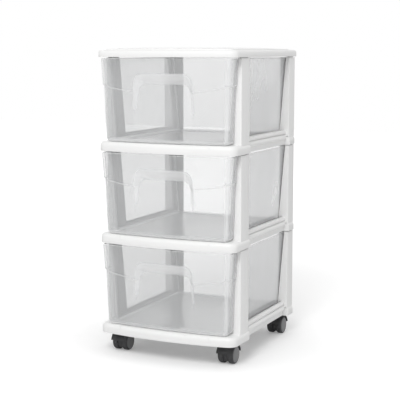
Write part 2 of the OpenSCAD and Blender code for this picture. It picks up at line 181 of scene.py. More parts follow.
# %% Blocks with eased edges
def eased_block(low, high, ease=0.5):
    """A box whose twelve edges are rounded."""
    (x0, y0, z0), (x1, y1, z1) = low, high
    ease = min(ease, 0.4 * (x1 - x0), 0.4 * (y1 - y0), 0.4 * (z1 - z0))
    rows = []
    turns = np.linspace(0, 90, 4)
    for z, sign in ((z0 + ease, -1), (z1 - ease, 1)):
        order = turns[::-1] if sign < 0 else turns
        for a in order:
            d = ease * (1 - math.cos(math.radians(a)))
            corners = [(x0 + d, y0 + d), (x1 - d, y0 + d), (x1 - d, y1 - d), (x0 + d, y1 - d)]
            plan = rounded(corners, [max(ease, 0.05)] * 4, 3)
            rows.append([(x, y, z + sign * ease * math.sin(math.radians(a))) for x, y in plan])
    skin = Skin()
    skin.loft(rows)
    return skin


# %% [markdown]
# ## Shader maths as expressions
# A finish varies a little over every surface. Written with bare nodes, one formula takes ten lines. The
# class below wraps a node's output and overloads the operators, so `1 - mask * 0.3` adds the Math nodes
# itself. Colours are never sent through it, because a Math node would turn them grey.


# %% Numbers in a node tree
class Num:
    """One number in a node tree, usable in an expression."""

    def __init__(self, tree, socket):
        self.tree, self.socket = tree, socket

    def _join(self, operation, a, b):
        node = self.tree.nodes.new("ShaderNodeMath")
        node.operation = operation
        for slot, value in zip(node.inputs, (a, b)):
            if isinstance(value, Num):
                self.tree.links.new(value.socket, slot)
            else:
                slot.default_value = value
        return Num(self.tree, node.outputs[0])

    def __add__(self, other):
        return self._join("ADD", self, other)

    def __radd__(self, other):
        return self._join("ADD", other, self)

    def __sub__(self, other):
        return self._join("SUBTRACT", self, other)

    def __rsub__(self, other):
        return self._join("SUBTRACT", other, self)

    def __mul__(self, other):
        return self._join("MULTIPLY", self, other)

    def __rmul__(self, other):
        return self._join("MULTIPLY", other, self)

    def clamped(self, lowest, highest):
        return self._join("MINIMUM", self._join("MAXIMUM", self, lowest), highest)


# %% A finish and its nodes
class Finish:
    """A material that is built node by node."""

    def __init__(self, name):
        self.material = bpy.data.materials.new(name)
        self.material.use_nodes = True
        self.tree = self.material.node_tree
        self.tree.nodes.clear()
        self.output = self.tree.nodes.new("ShaderNodeOutputMaterial")

    def node(self, kind, settings=None, **values):
        """Adds a node. settings are its properties, values are numbers, colours or links for its sockets."""
        made = self.tree.nodes.new(kind)
        for key, value in (settings or {}).items():
            setattr(made, key, value)
        for key, value in values.items():
            slot = made.inputs[key.replace("_", " ")]
            if isinstance(value, Num):
                self.tree.links.new(value.socket, slot)
            elif isinstance(value, bpy.types.NodeSocket):
                self.tree.links.new(value, slot)
            else:
                slot.default_value = value
        return made

    def noise(self, scale, detail=2.0, stretch=(1, 1, 1)):
        """Even noise from 0 to 1 on the object's own coordinates, in metres."""
        place = self.node("ShaderNodeTexCoord").outputs["Object"]
        mapped = self.node("ShaderNodeMapping", Vector=place, Scale=stretch).outputs["Vector"]
        made = self.node("ShaderNodeTexNoise", Vector=mapped, Scale=scale, Detail=detail)
        return Num(self.tree, made.outputs["Factor" if "Factor" in made.outputs else "Fac"])

    def blend(self, factor, a, b):
        """A colour between a and b."""
        made = self.node("ShaderNodeMix", {"data_type": "RGBA"})
        self.tree.links.new(factor.socket, made.inputs[0])
        made.inputs[6].default_value = (*a, 1)
        made.inputs[7].default_value = (*b, 1)
        return made.outputs[2]

    def bump(self, height, strength, distance):
        made = self.node("ShaderNodeBump", Height=height, Strength=strength, Distance=distance)
        return made.outputs["Normal"]

    def surface(self, shader):
        self.tree.links.new(shader, self.output.inputs["Surface"])


# %% [markdown]
# ## Finishes
# The white mouldings are satin plastic: nearly even in colour, with a faint cloudiness where the melt
# flowed and a very fine grain from the mould. The drawers are a clear plastic with a slight haze. They let
# most light through, turn denser at grazing angles and keep a sharp gloss. On sloping, turned and flat faces
# they are also painted denser and paler, which stands in for light falling on those faces, so the arch and
# the corners can be made out as in the photograph. The casters are a dark plastic with a matt grain, the
# caps of their wheels are greyer and smoother, and their pins are drawn steel.


# %% White moulded plastic
def white_plastic():
    f = Finish("white_moulded_plastic")
    flow = f.noise(9.0, 3.0, (1, 1, 0.5))
    grain = f.noise(2600.0, 1.0)
    colour = f.blend(flow, (0.86, 0.86, 0.855), (0.9, 0.9, 0.895))
    rough = 0.3 + 0.12 * flow
    relief = f.bump(grain * 0.6 + flow * 0.4, 0.06, 0.0004)
    shader = f.node("ShaderNodeBsdfPrincipled", Base_Color=colour, Roughness=rough, Normal=relief, IOR=1.49)
    f.surface(shader.outputs[0])
    return f.material


WHITE = white_plastic()


# %% Clear drawer plastic
def clear_plastic():
    f = Finish("clear_drawer_plastic")
    flow = f.noise(14.0, 2.0, (1, 1, 0.4))
    ripple = f.noise(55.0, 1.0)
    slant = Num(f.tree, f.node("ShaderNodeLayerWeight", Blend=0.5).outputs["Facing"])
    facing = f.node("ShaderNodeSeparateXYZ", Vector=f.node("ShaderNodeNewGeometry").outputs["Normal"])
    across, along, tilt = [Num(f.tree, facing.outputs[axis]) for axis in "XYZ"]
    leaning = tilt * tilt * (1 - tilt * tilt)
    turned = across * across * along * along
    # The extra haze on sloping, turned and flat faces is painted light: it stands in for light falling on
    # those faces.
    painted_slope_light = (1.6 * leaning + 1.3 * turned).clamped(0.0, 0.34)
    haze = (0.11 + 0.04 * flow + 0.58 * slant * slant + painted_slope_light + 0.2 * tilt * tilt).clamped(0.0, 0.95)
    # The colour turns paler on sloping, turned and flat faces: a painted highlight for light falling on them.
    colour = f.blend((0.2 * flow + 1.8 * painted_slope_light + 0.8 * tilt * tilt).clamped(0.0, 1.0), (0.84, 0.85, 0.86),
                     (0.97, 0.975, 0.98))
    relief = f.bump(ripple, 0.05, 0.001)
    body = f.node("ShaderNodeBsdfPrincipled", Base_Color=colour, Roughness=0.2 + 0.06 * flow, Normal=relief,
                  IOR=1.5, Alpha=haze)
    gloss = f.node("ShaderNodeBsdfGlossy", Roughness=0.12, Normal=relief)
    mirror = 0.04 + 0.9 * slant * slant * slant * slant * slant
    both = f.node("ShaderNodeMixShader", Fac=mirror)
    f.tree.links.new(body.outputs[0], both.inputs[1])
    f.tree.links.new(gloss.outputs[0], both.inputs[2])
    f.surface(both.outputs[0])
    return f.material


CLEAR = clear_plastic()


# %% Dark caster plastic, wheel caps and steel
def dark_plastic(name, deep, pale, rough):
    f = Finish(name)
    grain = f.noise(1800.0, 2.0)
    scuff = f.noise(160.0, 4.0)
    colour = f.blend(scuff, deep, pale)
    relief = f.bump(grain, 0.2, 0.0003)
    shader = f.node("ShaderNodeBsdfPrincipled", Base_Color=colour, Roughness=rough + 0.15 * scuff,
                    Normal=relief)
    f.surface(shader.outputs[0])
    return f.material


def drawn_steel():
    f = Finish("drawn_steel")
    lines = f.noise(900.0, 2.0, (1, 1, 0.05))
    colour = f.blend(lines, (0.42, 0.42, 0.43), (0.6, 0.6, 0.61))
    shader = f.node("ShaderNodeBsdfPrincipled", Base_Color=colour, Metallic=1.0, Roughness=0.25 + 0.2 * lines,
                    Normal=f.bump(lines, 0.1, 0.0002))
    f.surface(shader.outputs[0])
    return f.material


HOOD = dark_plastic("dark_hood_plastic", (0.032, 0.032, 0.034), (0.05, 0.05, 0.053), 0.42)
TYRE = dark_plastic("dark_wheel_plastic", (0.035, 0.035, 0.037), (0.055, 0.055, 0.058), 0.5)
CAP = dark_plastic("grey_wheel_cap", (0.16, 0.16, 0.165), (0.22, 0.22, 0.225), 0.3)
STEEL = drawn_steel()
print("finishes:", [m.name for m in (WHITE, CLEAR, HOOD, TYRE, CAP, STEEL)])


# %% [markdown]
# ## Finishing a piece
# A finished piece sits at the origin with its place in its mesh, shades smoothly across its curves and
# breaks at its real edges. Then it is tied to its CAD body and stands in for its CAD node.


# %% Make an object, smooth it and tie it on
def piece(data, materials, body, node, sharp=32):
    """Turns mesh data into the shown piece of one CAD node. Edges above sharp degrees stay sharp."""
    obj = bpy.data.objects.new(data.name, data)
    bpy.context.scene.collection.objects.link(obj)
    for material in materials:
        data.materials.append(material)
    shape = bmesh.new()
    shape.from_mesh(data)
    bmesh.ops.remove_doubles(shape, verts=shape.verts, dist=0.00001)
    for face in shape.faces:
        face.smooth = True
    for edge in shape.edges:
        edge.smooth = len(edge.link_faces) != 2 or edge.calc_face_angle(0.0) < math.radians(sharp)
    shape.to_mesh(data)
    shape.free()
    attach(obj, body)
    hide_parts(node)
    print(f"{obj.name}: {sum(len(p.vertices) - 2 for p in data.polygons)} triangles")


# %% [markdown]
# ## Ribs and beads by Geometry Nodes
# The underside of each shelf is stiffened by ribs, and each side carries two long rounded beads. Node trees
# make both: one tree copies a rib along a line, and the other runs a round profile along a line. Each result
# is turned into plain mesh and joined with its moulding. The top panel's ribs come from the same tree.


# %% A node tree with named inputs
def new_tree(name, inputs):
    tree = bpy.data.node_groups.new(name, "GeometryNodeTree")
    for side in ("INPUT", "OUTPUT"):
        tree.interface.new_socket("Geometry", in_out=side, socket_type="NodeSocketGeometry")
    for label, kind in inputs:
        tree.interface.new_socket(label, in_out="INPUT", socket_type=kind)
    return tree, tree.nodes.new("NodeGroupInput"), tree.nodes.new("NodeGroupOutput")


def wire(tree, source, target):
    tree.links.new(source, target)


def run_tree(tree, values):
    """Runs a tree on an empty mesh and gives back the plain mesh that it makes."""
    obj = bpy.data.objects.new("maker", bpy.data.meshes.new("maker"))
    bpy.context.scene.collection.objects.link(obj)
    modifier = obj.modifiers.new("maker", "NODES")
    modifier.node_group = tree
    named = {i.name: i.identifier for i in tree.interface.items_tree if i.in_out == "INPUT"}
    for label, value in values.items():
        modifier[named[label]] = value
    bpy.context.view_layer.update()
    made = bpy.data.meshes.new_from_object(obj.evaluated_get(bpy.context.evaluated_depsgraph_get()))
    bpy.data.objects.remove(obj)
    return made


# %% The bead tree: a round bar along a line
def bead_tree():
    tree, start, end = new_tree("rail_bead", [
        ("Start", "NodeSocketVector"), ("End", "NodeSocketVector"),
        ("Radius", "NodeSocketFloat"), ("Material", "NodeSocketMaterial")])
    line = tree.nodes.new("GeometryNodeCurvePrimitiveLine")
    circle = tree.nodes.new("GeometryNodeCurvePrimitiveCircle")
    circle.inputs["Resolution"].default_value = 40
    sweep = tree.nodes.new("GeometryNodeCurveToMesh")
    sweep.inputs["Fill Caps"].default_value = True
    real = tree.nodes.new("GeometryNodeRealizeInstances")
    paint = tree.nodes.new("GeometryNodeSetMaterial")
    wire(tree, start.outputs["Start"], line.inputs["Start"])
    wire(tree, start.outputs["End"], line.inputs["End"])
    wire(tree, start.outputs["Radius"], circle.inputs["Radius"])
    wire(tree, line.outputs["Curve"], sweep.inputs["Curve"])
    wire(tree, circle.outputs["Curve"], sweep.inputs["Profile Curve"])
    wire(tree, sweep.outputs["Mesh"], real.inputs["Geometry"])
    wire(tree, real.outputs["Geometry"], paint.inputs["Geometry"])
    wire(tree, start.outputs["Material"], paint.inputs["Material"])
    wire(tree, paint.outputs["Geometry"], end.inputs["Geometry"])
    return tree


BEAD_TREE = bead_tree()


# %% The rib tree: equal ribs side by side
def rib_tree():
    tree, start, end = new_tree("shelf_ribs", [
        ("Count", "NodeSocketInt"), ("First", "NodeSocketVector"), ("Step", "NodeSocketVector"),
        ("Size", "NodeSocketVector"), ("Material", "NodeSocketMaterial")])
    line = tree.nodes.new("GeometryNodeMeshLine")
    cube = tree.nodes.new("GeometryNodeMeshCube")
    copies = tree.nodes.new("GeometryNodeInstanceOnPoints")
    real = tree.nodes.new("GeometryNodeRealizeInstances")
    paint = tree.nodes.new("GeometryNodeSetMaterial")
    wire(tree, start.outputs["Count"], line.inputs["Count"])
    wire(tree, start.outputs["First"], line.inputs["Start Location"])
    wire(tree, start.outputs["Step"], line.inputs["Offset"])
    wire(tree, start.outputs["Size"], cube.inputs["Size"])
    wire(tree, line.outputs["Mesh"], copies.inputs["Points"])
    wire(tree, cube.outputs["Mesh"], copies.inputs["Instance"])
    wire(tree, copies.outputs["Instances"], real.inputs["Geometry"])
    wire(tree, real.outputs["Geometry"], paint.inputs["Geometry"])
    wire(tree, start.outputs["Material"], paint.inputs["Material"])
    wire(tree, paint.outputs["Geometry"], end.inputs["Geometry"])
    return tree


RIB_TREE = rib_tree()
print("node trees:", [g.name for g in bpy.data.node_groups])


# %% Plain mesh back into a skin
def skin_of(data):
    """Reads a mesh in metres into a skin in millimetres."""
    skin = Skin()
    skin.points = [tuple(c / MM for c in v.co) for v in data.vertices]
    skin.faces = [tuple(p.vertices) for p in data.polygons]
    skin.slots = [0] * len(skin.faces)
    return skin


def ribs(count, first, step, size):
    """Equal ribs in a row. first is the middle of the first one, step leads to the next."""
    first, step, size = [tuple(c * MM for c in v) for v in (first, step, size)]
    values = {"Count": count, "First": first, "Step": step, "Size": size, "Material": WHITE}
    return skin_of(run_tree(RIB_TREE, values))


def bead(x, z, r):
    """One rounded bead of a side rail, from post to post."""
    start, end = [(x * MM, y * MM, z * MM) for y in (RAIL_FRONT, RAIL_BACK)]
    values = {"Start": start, "End": end, "Radius": r * MM, "Material": WHITE}
    return skin_of(run_tree(BEAD_TREE, values))


# %% [markdown]
# ## The shelf of a frame
# A shelf is a shallow tray turned upside down: a rim with a rounded upper edge, a flat deck, and an open
# middle. It could be drawn face by face, but it is a simple sum of solids, so exact booleans cut it: the
# outer shell, minus the notches beside the rails, minus the hollow below, minus the opening.


# %% Solids for cutting
def nosed_skin(z, h, nose, half, front, back, bow, r, r_back):
    """A solid with a rounded upper edge, from height z to z + h."""
    rows = [plan_row(z, 0.8, half, front, back, bow, r, r_back),
            plan_row(z + 0.25, 0.25, half, front, back, bow, r, r_back),
            plan_row(z + 0.9, 0, half, front, back, bow, r, r_back)]
    for a in np.radians(np.linspace(0, 90, 9)):
        inset, rise = nose * (1 - math.cos(a)), nose * math.sin(a)
        rows.append(plan_row(z + h - nose + rise, inset, half, front, back, bow, r, r_back))
    skin = Skin()
    skin.loft(rows)
    return skin


def plain_block(low, high):
    (x0, y0, z0), (x1, y1, z1) = low, high
    skin = Skin()
    skin.loft([[(x0, y0, z), (x1, y0, z), (x1, y1, z), (x0, y1, z)] for z in (z0, z1)])
    return skin


def solid(skin, name="part"):
    obj = bpy.data.objects.new(name, skin.mesh(name))
    bpy.context.scene.collection.objects.link(obj)
    return obj


def cut(base, cutters):
    """Cuts skins out of an object with exact booleans."""
    for skin in cutters:
        tool = solid(skin, "cutter")
        modifier = base.modifiers.new("cut", "BOOLEAN")
        modifier.operation, modifier.solver, modifier.object = "DIFFERENCE", "EXACT", tool
        bpy.context.view_layer.update()
        made = bpy.data.meshes.new_from_object(base.evaluated_get(bpy.context.evaluated_depsgraph_get()))
        base.modifiers.clear()
        base.data = made
        bpy.data.objects.remove(tool)


# %% The shelf, cut once and used three times
def shelf_blocks(grow):
    """The blocks for the opening, the right notch and the left notch, grown by grow."""
    beside, below, above = RIM_X + 9, -9, RIM_H + 5
    spans = ((-LEDGE_X - grow, LEDGE_X + grow), (SKIRT_X - grow, beside), (-beside, -SKIRT_X + grow))
    return [plain_block((x0, FRONT_POST_BACK - grow, below), (x1, REAR_POST_FRONT + grow, above))
            for x0, x1 in spans]


def shelf_skin():
    shell = solid(nosed_skin(0, RIM_H, RIM_NOSE, RIM_X, RIM_FRONT, RIM_BACK,
                             RIM_BOW, RIM_CORNER, REAR_CORNER))
    hollow = solid(nosed_skin(-WALL, RIM_H, RIM_NOSE - WALL / 2, RIM_X - WALL, RIM_FRONT + WALL,
                              RIM_BACK - WALL, RIM_BOW, RIM_CORNER - WALL, REAR_CORNER - 2))
    cut(hollow, shelf_blocks(WALL))
    opening, right, left = shelf_blocks(0)
    cut(shell, [right, left, opening, skin_of(hollow.data)])
    made = skin_of(shell.data)
    for obj in (shell, hollow):
        bpy.data.objects.remove(obj)
    return made


SHELF = shelf_skin()
print("shelf faces:", len(SHELF.faces))

# %% Ribs under the shelf
RIB_W, RIB_H, RIB_Z = 1.8, 15, 10
rib_step = 2 * POST_X / 6
for k in (0, 1, 2):
    front_end = RIM_FRONT - RIM_BOW * (1 - (k * rib_step / RIM_X) ** 2) + 1.4
    depth = FRONT_POST_BACK - 1 - front_end
    first = (-k * rib_step, front_end + depth / 2, RIB_Z)
    SHELF.take(ribs(min(k + 1, 2), first, (2 * k * rib_step, 0, 0), (RIB_W, depth, RIB_H)))
back_depth = RIM_BACK - REAR_POST_FRONT - 2
first = (-2 * rib_step, REAR_POST_FRONT + back_depth / 2 + 1, RIB_Z)
SHELF.take(ribs(5, first, (rib_step, 0, 0), (RIB_W, back_depth - 1, RIB_H)))
SHELF.take(ribs(1, (0, POST_FRONT, RIB_Z), (0, 0, 0), (2 * RIM_X - 4, RIB_W, RIB_H)))
print("shelf faces with ribs:", len(SHELF.faces))

# %% [markdown]
# ## The posts
# Each post is a C-section, open towards the middle. The flanges beside a drawer are 9 mm wide at the top and
# 22 mm at the foot, end in a small rounded corner above, and run into the shelf in a fillet below. Only the
# flange at the back of a rear post keeps its width. A loft of the section at many heights gives all of that
# at once, because nothing but a flange's width changes.


# %% Flange width at a height
FILLET, TIP = 9.0, 5.0


def flange_width(h, length):
    """Width at height h above the shelf, on a post of that length."""
    share = np.clip((h - FILLET) / (length - TIP - FILLET), 0, 1)
    width = FLANGE_FOOT + (FLANGE_TOP - FLANGE_FOOT) * share
    if h < FILLET:
        width += FILLET - math.sqrt(FILLET**2 - (FILLET - max(h, 0)) ** 2)
    if h > length - TIP:
        width -= TIP - math.sqrt(max(TIP**2 - (h - length + TIP) ** 2, 0))
    return width


def post_heights(length):
    """Heights of the rows, closer together at the fillet and at the rounded corner."""
    foot = [-2.0] + [FILLET * (1 - math.cos(math.radians(a))) for a in np.linspace(0, 90, 8)]
    top = [length - TIP + TIP * math.sin(math.radians(a)) for a in np.linspace(0, 80, 7)]
    return foot + list(np.linspace(14, length - 8, 12)) + top + [length]


# %% Front and rear posts
def post_section(y0, y1, front_width, back_width):
    """Section of a post on the right. The widths are those of its front and back flange."""
    x, w = POST_X, WALL
    corners = [(x, y0), (x, y1), (x - back_width, y1), (x - back_width, y1 - w), (x - w, y1 - w),
               (x - w, y0 + w), (x - front_width, y0 + w), (x - front_width, y0)]
    return rounded(corners, [1.4, 1.2, 0.8, 0.8, 1.0, 1.0, 0.8, 0.8])


def post_skin(y0, y1, back_flange=None):
    """A post on the right, with its closed top and its plug. back_flange is set where it keeps its width."""
    length = TIER - JOINT_GAP - RIM_H
    rows = []
    for h in post_heights(length):
        width = flange_width(h, length)
        section = post_section(y0, y1, width, back_flange or width)
        rows.append([(x, y, RIM_H + h) for x, y in section])
    skin = Skin()
    skin.loft(rows)
    top = RIM_H + length
    skin.take(eased_block((POST_X - FLANGE_TOP, y0 + 1, top - WALL), (POST_X - 0.4, y1 - 0.6, top), 0.5))
    skin.take(plain_block((POST_X - FLANGE_TOP + 0.2, y0 + WALL + 1, top - 1),
                          (POST_X - WALL - 0.2, y1 - WALL - 1, top + 9)))
    return skin


POSTS = post_skin(POST_FRONT, FRONT_POST_BACK)
POSTS.take(post_skin(REAR_POST_FRONT, POST_BACK, REAR_FLANGE))
print("faces in two posts:", len(POSTS.faces))

# %% [markdown]
# ## The side rails
# Between the posts each side has two long beads, one above the other, over the plain skirt of the shelf.
# A thin plate ties the upper bead to the inner wall that guides the drawer.

# %% Rails on one side
BEAD_R, BEAD_TOP_R, RAIL_LOW, RAIL_IN = 6.2, 5.0, 10.0, 137.0
RAIL_HIGH = RAIL_LOW + 2 * (BEAD_R + BEAD_TOP_R)
RAIL = Skin()
RAIL.take(bead(SKIRT_X, RAIL_LOW + BEAD_R, BEAD_R))
RAIL.take(bead(SKIRT_X - 0.5, RAIL_HIGH - BEAD_TOP_R, BEAD_TOP_R))
RAIL.take(eased_block((RAIL_IN, RAIL_FRONT, RAIL_HIGH - WALL), (SKIRT_X, RAIL_BACK, RAIL_HIGH), 0.4))
RAIL.take(eased_block((RAIL_IN, RAIL_FRONT, RIM_H - WALL), (RAIL_IN + WALL, RAIL_BACK, RAIL_HIGH), 0.4))
print("rail top above the joint:", RAIL_HIGH)


# %% The three frames
def frame_skin(z):
    skin = Skin()
    skin.take(SHELF, z)
    for part in (POSTS, RAIL):
        skin.take(part, z)
        skin.take(part.mirrored(), z)
    return skin


for name, z in TIER_Z.items():
    piece(frame_skin(z).mesh(f"{name}_frame_moulding"), [WHITE], "tower", f"{name}_frame")

# %% [markdown]
# ## The top panel
# The panel is a wider rim with a raised platform that is slightly crowned. One closed loft makes the rim and
# its hollow underside. A second one makes the platform, whose rows close in on the middle and follow the
# crown. Three ribs each way stiffen the underside.

# %% Rim of the top panel
PANEL_X, PANEL_FRONT, PANEL_BACK = 157.5, -164.5, 176.5
PANEL = (PANEL_X, PANEL_FRONT, PANEL_BACK, RIM_BOW, RIM_CORNER, 8)
top_skin = Skin()
rows = []
for a in np.radians(np.linspace(90, 0, 5)):
    rows.append(plan_row(TOP_Z + 6.4 + 5 * math.sin(a), WALL + 5 * (1 - math.cos(a)), *PANEL))
for z, inset in ((0.3, WALL), (0, WALL - 0.3), (0, 0.8), (0.25, 0.25), (0.9, 0)):
    rows.append(plan_row(TOP_Z + z, inset, *PANEL))
for a in np.radians(np.linspace(0, 90, 9)):
    rows.append(plan_row(TOP_Z + 8 + 6 * math.sin(a), 6 * (1 - math.cos(a)), *PANEL))
top_skin.loft(rows)
print("rows of the rim:", len(rows))

# %% Platform and ribs of the top panel
INSET, CROWN, PLAT_EDGE = 14.0, 3.5, 1.6
PLAT_Z = TOP_Z + 19
PLAT = (PANEL_X - INSET, PANEL_FRONT + INSET, PANEL_BACK - INSET, RIM_BOW, RIM_CORNER - 6, 6)
middle_y = (PANEL_FRONT - RIM_BOW + PANEL_BACK) / 2
reach = math.hypot(PLAT[0], (PANEL_BACK - PANEL_FRONT + RIM_BOW) / 2 - INSET)


def crown(x, y):
    """Height of the platform at a point. It is flat in the middle and falls towards the corners."""
    t = max(0.0, (math.hypot(x, y - middle_y) / reach - 0.3) / 0.7)
    return PLAT_Z - CROWN * t * t


rows = [plan_row(TOP_Z + 12, 0, *PLAT)]
for a in np.radians(np.linspace(0, 90, 6)):
    ring = plan_row(0, PLAT_EDGE * (1 - math.cos(a)), *PLAT)
    rows.append([(x, y, crown(x, y) - PLAT_EDGE + PLAT_EDGE * math.sin(a)) for x, y, _ in ring])
inner = plan_row(0, PLAT_EDGE, *PLAT)
for shrink in np.linspace(0.98, 0.03, 30):
    ring = [(x * shrink, middle_y + (y - middle_y) * shrink) for x, y, _ in inner]
    rows.append([(x, y, crown(x, y)) for x, y in ring])
top_skin.loft(rows)
top_skin.take(ribs(3, (-PANEL_X / 2, middle_y, TOP_Z + 7.5), (PANEL_X / 2, 0, 0), (1.8, 340, 9)))
top_skin.take(ribs(3, (0, middle_y - PANEL_X / 2, TOP_Z + 7.5), (0, PANEL_X / 2, 0), (310, 1.8, 9)))
piece(top_skin.mesh("top_panel_moulding"), [WHITE], "tower", "top_panel")

# %% [markdown]
# ## The drawers
# A drawer front bows outwards and has a raised upper band, whose lower edge rises towards both ends like
# a smile. Under it an arch-shaped recess takes the fingers. The front is a height field over a plan
# outline: for each height the outline is drawn, and each point is then pushed inwards by the depth of the
# recess there. Rows bend to follow the band's edge, so that the edge stays crisp.

# %% Drawer sizes
DRAWER_LIFT = 19.8
DRAWER_H = 170.7
DRAWER_WALL = 2.0
WING_BACK = POST_FRONT - 1.2
DRAWER_BACK = 160.0
FRONT_FOOT_X, FRONT_TOP_X = 141.1, 147.5
REACH_FOOT, REACH_TOP = 37.0, 42.0
BODY_FOOT_X, BODY_TOP_X, BODY_CORNER = 129.5, 142.5, 7.0
FRONT_BOW, FRONT_CORNER = 7.0, 14.0
FRONT_TUCK, BODY_TUCK = 9.0, 6.0
BAND_PROUD, BAND_Z, BAND_RISE = 2.6, 100.7, 16.0
ARCH_W, ARCH_TOP, ARCH_R = 65.0, 140.7, 19.0
ARCH_SPLAY, ARCH_FOOT, ARCH_FADE = 10.0, 8.0, 22.0
GRIP_H, GRIP_IN, GRIP_R, RECESS = 23.0, 7.0, 15.0, 14.0


def smooth(t):
    """An S-curve from 0 to 1."""
    t = np.clip(t, 0, 1)
    return t * t * (3 - 2 * t)


def front_half(h):
    """Half the width of the front at height h."""
    return FRONT_FOOT_X + (FRONT_TOP_X - FRONT_FOOT_X) * h / DRAWER_H


def front_reach(h):
    """How far the front's corners stand out from the posts at height h."""
    return REACH_FOOT + (REACH_TOP - REACH_FOOT) * h / DRAWER_H


def body_half(h):
    """Half the width of the body between the posts at height h."""
    return BODY_FOOT_X + (BODY_TOP_X - BODY_FOOT_X) * h / DRAWER_H


def tuck(h, r):
    """How far a rounded lower edge of radius r draws the wall in at height h."""
    return r - math.sqrt(max(r * r - max(r - h, 0) ** 2, 0))


# %% The arch as a distance field
def arch_inside(x, h, half, top, r):
    """Distance from a point to the arch's outline, positive inside."""
    down = np.clip((top - r - h) / (top - r - ARCH_FOOT), 0, 1.1)
    dx = half + ARCH_SPLAY * down - np.abs(x)
    dh = top - h
    corner = r - np.hypot(np.maximum(r - dx, 0), np.maximum(r - dh, 0))
    return np.where((dx < r) & (dh < r), corner, np.minimum(dx, dh))


def recess_depth(x, h, face):
    """How far the recess pushes the front inwards, where the front is at y = face."""
    face_fade = POST_FRONT - front_reach(ARCH_FADE) - FRONT_BOW + BAND_PROUD
    face_top = POST_FRONT - front_reach(ARCH_TOP) - FRONT_BOW
    deep = ARCH_TOP - GRIP_H
    back = face_fade + (h - ARCH_FADE) * (face_top + RECESS - face_fade) / (deep - ARCH_FADE)
    outer = arch_inside(x, h, ARCH_W, ARCH_TOP, ARCH_R)
    inner = arch_inside(x, h, ARCH_W - GRIP_IN, deep, GRIP_R)
    share = np.clip(outer / np.maximum(outer - inner, 0.01), 0, 1)
    share = np.where(outer <= 0, 0.0, np.where(inner >= 0, 1.0, share))
    share = 0.85 * share + 0.15 * smooth(share)
    gap = back - face
    return share * 0.5 * (gap + np.sqrt(gap * gap + 1.2))


grip_z = ARCH_TOP - GRIP_H
grip_face = POST_FRONT - front_reach(grip_z) - FRONT_BOW
print("recess depth at the grip:", round(float(recess_depth(np.array([0.0]), grip_z, grip_face)[0]), 2))


# %% One level of the drawer, seen from above
BEND_FROM, BEND_OVER = 46.0, 16.0
FRONT_TURNS = np.concatenate([
    np.linspace(-1, -0.62, 14), np.linspace(-0.61, 0.61, 112), np.linspace(0.62, 1, 14)])


def band_edge(x):
    """Height of the band's lower edge."""
    return BAND_Z + BAND_RISE * (np.abs(x) / FRONT_TOP_X) ** 2


def level(h, inside):
    """The closed outline at height h. inside is 0 on the outer skin and 1 on the inner one."""
    wall = DRAWER_WALL * inside
    half = front_half(h)
    line = POST_FRONT - front_reach(h)
    chord = half - FRONT_CORNER
    big = (chord**2 + FRONT_BOW**2) / (2 * FRONT_BOW) + FRONT_CORNER
    turn = math.asin(chord / (big - FRONT_CORNER))
    base = BAND_PROUD + tuck(h - wall, FRONT_TUCK) + wall

    def drawn_in(x, height):
        """How far a point lies inside the band's outline. The inner skin has no step under the band."""
        if inside:
            return base
        return base - BAND_PROUD * smooth((height - band_edge(x) + 1.5) / 3.0)

    angles = FRONT_TURNS * turn
    cy = line - FRONT_BOW + big
    xs = big * np.sin(angles)
    rise = BAND_RISE * (np.abs(xs) / FRONT_TOP_X) ** 2 * smooth((np.abs(xs) - BEND_FROM) / BEND_OVER)
    fade = np.interp(h, [40, BAND_Z, BAND_Z + 30, DRAWER_H - 8], [0, 1, 0.75, 0])
    hs = h + rise * fade
    d = np.array([float(drawn_in(x, v)) for x, v in zip(xs, hs)])
    fx, fy = (big - d) * np.sin(angles), cy - (big - d) * np.cos(angles)
    fy = fy + recess_depth(fx, hs, fy - wall)
    front = np.stack([fx, fy, hs], 1)

    side_h = h + BAND_RISE * fade
    d = float(drawn_in(FRONT_TOP_X, side_h))
    r = max(FRONT_CORNER - d, 1.0)
    right = arc(chord, line + FRONT_CORNER, r, -90 + math.degrees(turn), 0, 8)[1:]
    wing_y = WING_BACK - wall
    side_x = half - d
    body_x = body_half(h) - wall - tuck(h - wall, BODY_TUCK)
    back_y = DRAWER_BACK - wall - tuck(h - wall, BODY_TUCK)
    ease = 0.9
    bit = ease * 0.3
    drop = np.linspace(side_h, h, 7)
    wing = [(side_x, wing_y - 12, side_h), (side_x, wing_y - ease, side_h),
            (side_x - bit, wing_y - bit, side_h), (side_x - ease, wing_y, side_h),
            (body_x + ease, wing_y, side_h), (body_x + bit, wing_y + bit, side_h),
            (body_x, wing_y + ease, side_h)]
    body = [(body_x, wing_y + ease + 6 * (i + 1), v) for i, v in enumerate(drop[1:])]
    body += [(body_x, y, h) for y in np.linspace(-60, back_y - 9, 6)]
    rear = [(x, y, h) for x, y in arc(body_x - BODY_CORNER, back_y - BODY_CORNER, BODY_CORNER, 0, 90, 7)]
    half_right = [(x, y, side_h) for x, y in right] + wing + body + rear
    half_left = [(-x, y, z) for x, y, z in reversed(half_right)]
    return [tuple(p) for p in front] + half_right + half_left


print("points in one level:", len(level(60.0, 0)))


